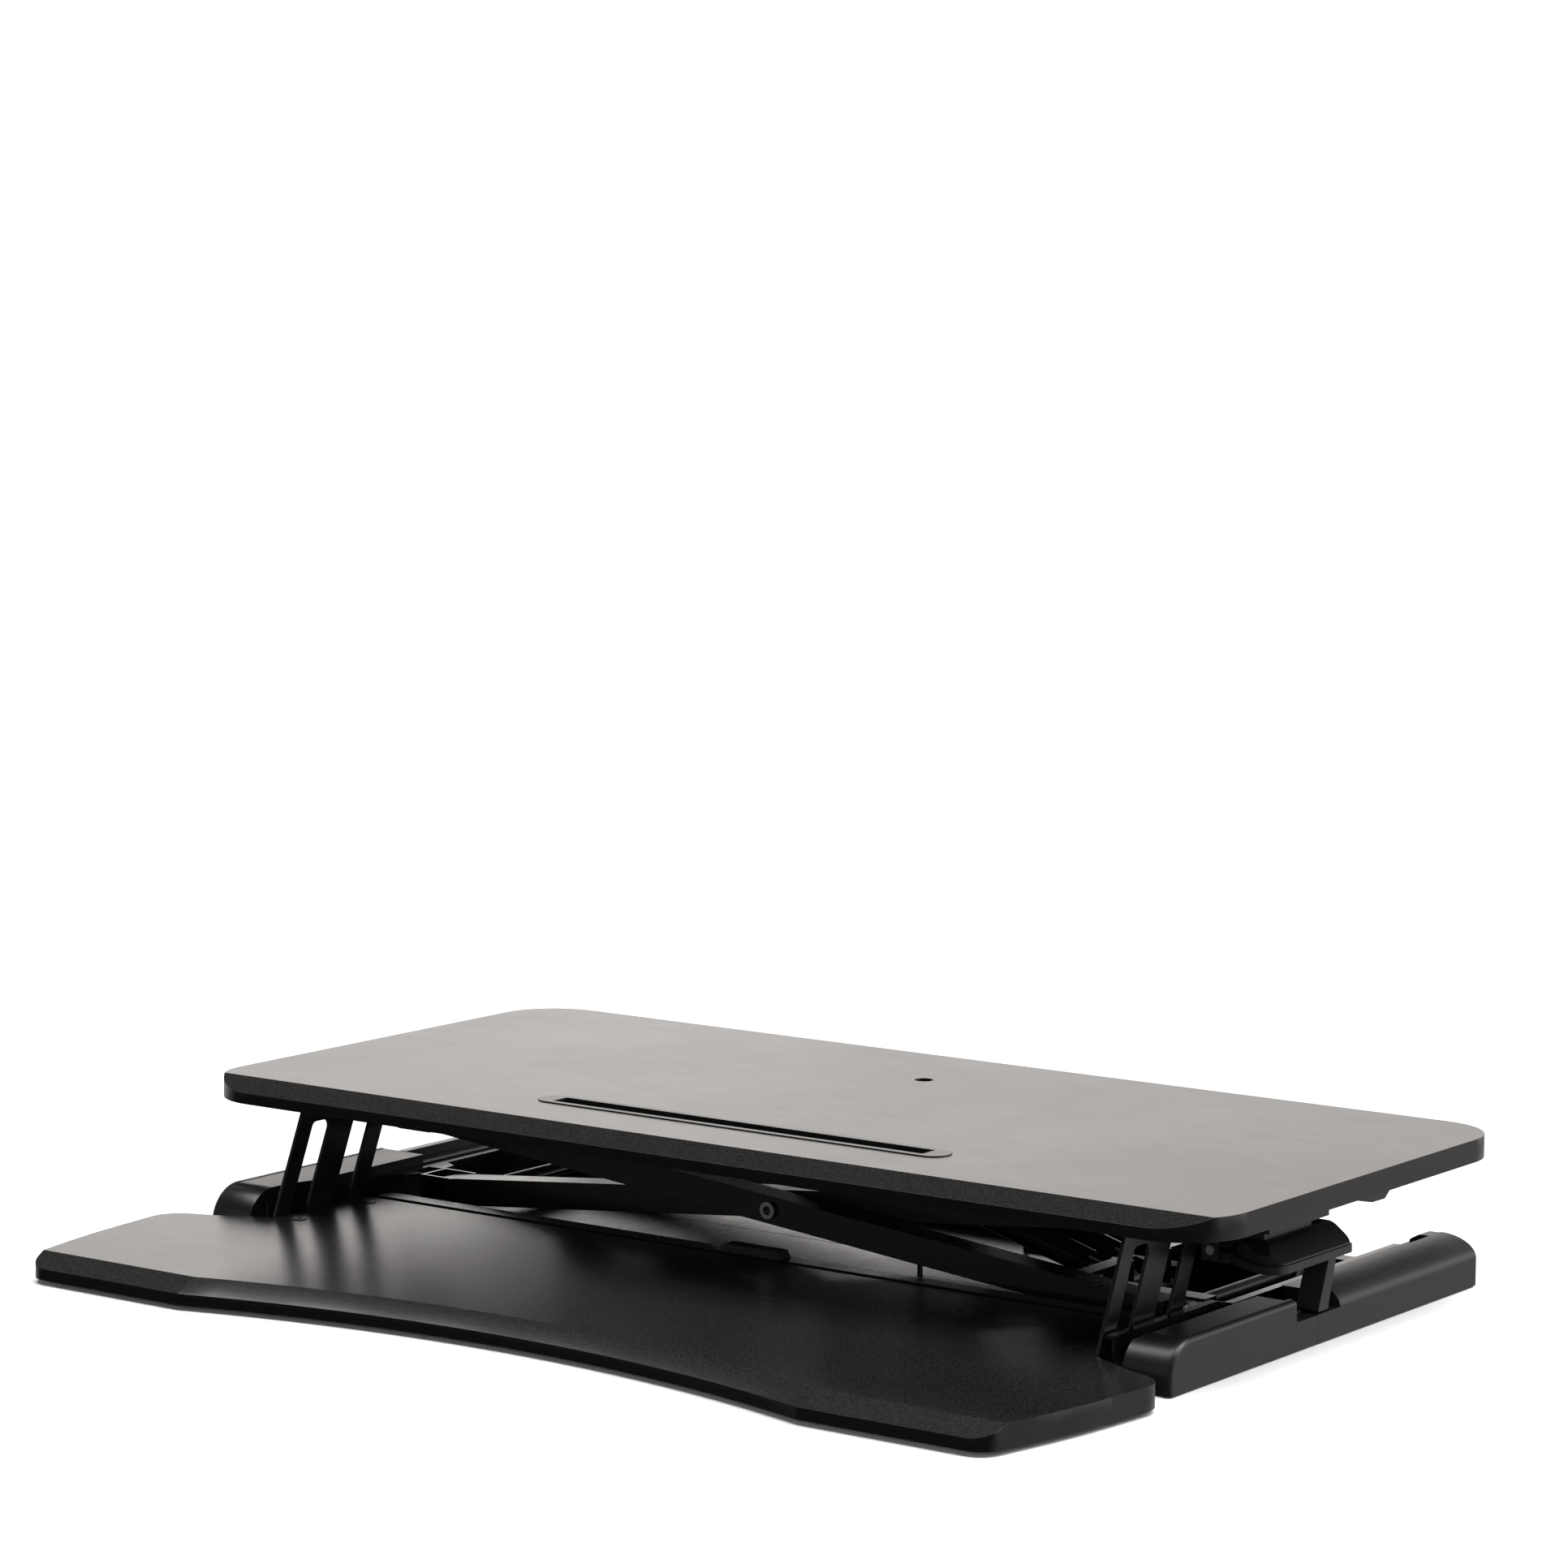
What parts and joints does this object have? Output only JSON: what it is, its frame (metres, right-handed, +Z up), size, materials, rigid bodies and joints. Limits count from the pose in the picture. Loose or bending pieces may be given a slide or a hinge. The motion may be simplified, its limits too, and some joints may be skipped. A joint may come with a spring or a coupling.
{
  "type": "standing desk converter",
  "caption": "Desktop riser: a work surface with a tablet slot over a scissor lift, a keyboard tray hung on slotted hangers in front, a squeeze handle at the right end and long base covers.",
  "frame": {"origin": "under the middle of the closed outline, on the surface it stands on", "axes": "+X to the user's right along the long side, +Y towards the back, +Z up"},
  "size_m": [0.8, 0.572, 0.1067],
  "materials": {
    "board_foil": "fine-grained black foil over particle board",
    "insert_plastic": "smooth satin black moulding",
    "cover_plastic": "satin black moulding with fine spark texture",
    "handle_plastic": "satin black moulding",
    "black_steel": "black powder coat",
    "bright_steel": "bright zinc and hard chrome",
    "dark_steel": "black oxide screws",
    "nylon": "natural nylon",
    "rubber": "moulded rubber"
  },
  "bodies": {
    "base": {"base_beams": "black_steel", "base_rails": "black_steel", "cover_screws": "dark_steel", "rubber_feet": "rubber", "front_bumper": "rubber", "front_cover_left": "cover_plastic", "front_cover_right": "cover_plastic", "rear_cover_left": "cover_plastic", "rear_cover_right": "cover_plastic", "post_socket": "cover_plastic", "lower_tracks": "black_steel", "lower_brackets": "black_steel", "lower_pins": "dark_steel"},
    "rising_arms": {"rising_arm_front": "black_steel", "rising_arm_rear": "black_steel", "rising_arm_bushes": "bright_steel", "rising_arm_tubes": "black_steel", "upper_axle": "dark_steel"},
    "falling_arms": {"falling_arm_front": "black_steel", "falling_arm_rear": "black_steel", "falling_arm_bushes": "bright_steel", "falling_arm_tubes": "black_steel", "middle_bolts": "bright_steel", "lower_axle": "dark_steel", "front_spring_arm": "black_steel", "rear_spring_arm": "black_steel"},
    "top": {"work_surface": "board_foil", "slot_insert": "insert_plastic", "keyboard_tray": "board_foil", "tray_screws": "dark_steel", "surface_screws": "dark_steel", "tray_hanger_left": "black_steel", "tray_hanger_right": "black_steel", "upper_tracks": "black_steel", "surface_beams": "black_steel", "upper_brackets": "black_steel", "upper_pins": "dark_steel", "front_spring_foot": "black_steel", "rear_spring_foot": "black_steel", "lock_rack": "black_steel", "handle_housing": "cover_plastic", "hinge_pin": "bright_steel", "handle_spring": "bright_steel", "cable_clips": "cover_plastic"},
    "upper_roller_front": {"upper_roller_front": "nylon"},
    "upper_roller_rear": {"upper_roller_rear": "nylon"},
    "lower_roller_front": {"lower_roller_front": "nylon"},
    "lower_roller_rear": {"lower_roller_rear": "nylon"},
    "front_spring_cylinder": {"front_spring_cylinder": "black_steel"},
    "front_spring_rod": {"front_spring_rod": "bright_steel", "front_spring_ball_end": "dark_steel"},
    "rear_spring_cylinder": {"rear_spring_cylinder": "black_steel"},
    "rear_spring_rod": {"rear_spring_rod": "bright_steel", "rear_spring_ball_end": "dark_steel"},
    "lock_carriage": {"lock_carriage": "black_steel"},
    "lock_pawl_front": {"lock_pawl_front": "bright_steel"},
    "lock_pawl_rear": {"lock_pawl_rear": "bright_steel"},
    "handle": {"handle": "handle_plastic"}
  },
  "joints": [
    {"name": "lift", "type": "hinge", "parent": "base", "child": "rising_arms", "pos_m": [-0.299, 0.118, 0.016], "axis": [0, -1, 0], "range_deg": [0, 42]},
    {"name": "scissor_middle", "type": "hinge", "parent": "rising_arms", "child": "falling_arms", "pos_m": [0, 0.118, 0.045], "axis": [0, -1, 0], "range_deg": [-84, 0]},
    {"name": "surface_pivot", "type": "hinge", "parent": "falling_arms", "child": "top", "pos_m": [-0.299, 0.118, 0.074], "axis": [0, -1, 0], "range_deg": [0, 42]},
    {"name": "lock_carriage_level", "type": "hinge", "parent": "rising_arms", "child": "lock_carriage", "pos_m": [0.299, 0.138, 0.074], "axis": [0, -1, 0], "range_deg": [-42, 0]},
    {"name": "front_spring_turn", "type": "hinge", "parent": "top", "child": "front_spring_cylinder", "pos_m": [0, 0.102, 0.076], "axis": [0, 1, 0], "range_deg": [0, 67.38]},
    {"name": "front_spring_stroke", "type": "slide", "parent": "front_spring_cylinder", "child": "front_spring_rod", "axis": [0.9641, 0, -0.2657], "range_m": [0, 0.16699]},
    {"name": "rear_spring_turn", "type": "hinge", "parent": "top", "child": "rear_spring_cylinder", "pos_m": [0, 0.134, 0.076], "axis": [0, 1, 0], "range_deg": [0, 67.38]},
    {"name": "rear_spring_stroke", "type": "slide", "parent": "rear_spring_cylinder", "child": "rear_spring_rod", "axis": [0.9641, 0, -0.2657], "range_m": [0, 0.16699]},
    {"name": "upper_roller_front_spin", "type": "hinge", "parent": "rising_arms", "child": "upper_roller_front", "pos_m": [0.299, 0.0345, 0.074], "axis": [0, 1, 0], "continuous": true},
    {"name": "upper_roller_rear_spin", "type": "hinge", "parent": "rising_arms", "child": "upper_roller_rear", "pos_m": [0.299, 0.2015, 0.074], "axis": [0, 1, 0], "continuous": true},
    {"name": "lower_roller_front_spin", "type": "hinge", "parent": "falling_arms", "child": "lower_roller_front", "pos_m": [0.299, 0.0495, 0.016], "axis": [0, 1, 0], "continuous": true},
    {"name": "lower_roller_rear_spin", "type": "hinge", "parent": "falling_arms", "child": "lower_roller_rear", "pos_m": [0.299, 0.1865, 0.016], "axis": [0, 1, 0], "continuous": true},
    {"name": "handle_squeeze", "type": "hinge", "parent": "top", "child": "handle", "pos_m": [0.328, 0.067, 0.06], "axis": [0, -1, 0], "range_deg": [0, 8], "stiffness_Nm_per_rad": 0.6, "springref_deg": -20.05},
    {"name": "lock_pawl_front_release", "type": "hinge", "parent": "lock_carriage", "child": "lock_pawl_front", "pos_m": [0.288, 0.1315, 0.072], "axis": [0, -1, 0], "range_deg": [0, 12]},
    {"name": "lock_pawl_rear_release", "type": "hinge", "parent": "lock_carriage", "child": "lock_pawl_rear", "pos_m": [0.288, 0.1445, 0.072], "axis": [0, -1, 0], "range_deg": [0, 12]}
  ],
  "couplings": [
    {"joint": "scissor_middle", "follows": "lift", "ratio": -2},
    {"joint": "surface_pivot", "follows": "lift", "ratio": 1},
    {"joint": "front_spring_turn", "follows": "lift", "ratio": 1.6043},
    {"joint": "front_spring_stroke", "follows": "lift", "m_per_rad": 0.22781},
    {"joint": "rear_spring_turn", "follows": "lift", "ratio": 1.6043},
    {"joint": "rear_spring_stroke", "follows": "lift", "m_per_rad": 0.22781},
    {"joint": "lock_carriage_level", "follows": "lift", "ratio": -1},
    {"joint": "lock_pawl_front_release", "follows": "handle_squeeze", "ratio": 1.5},
    {"joint": "lock_pawl_rear_release", "follows": "handle_squeeze", "ratio": 1.5}
  ]
}
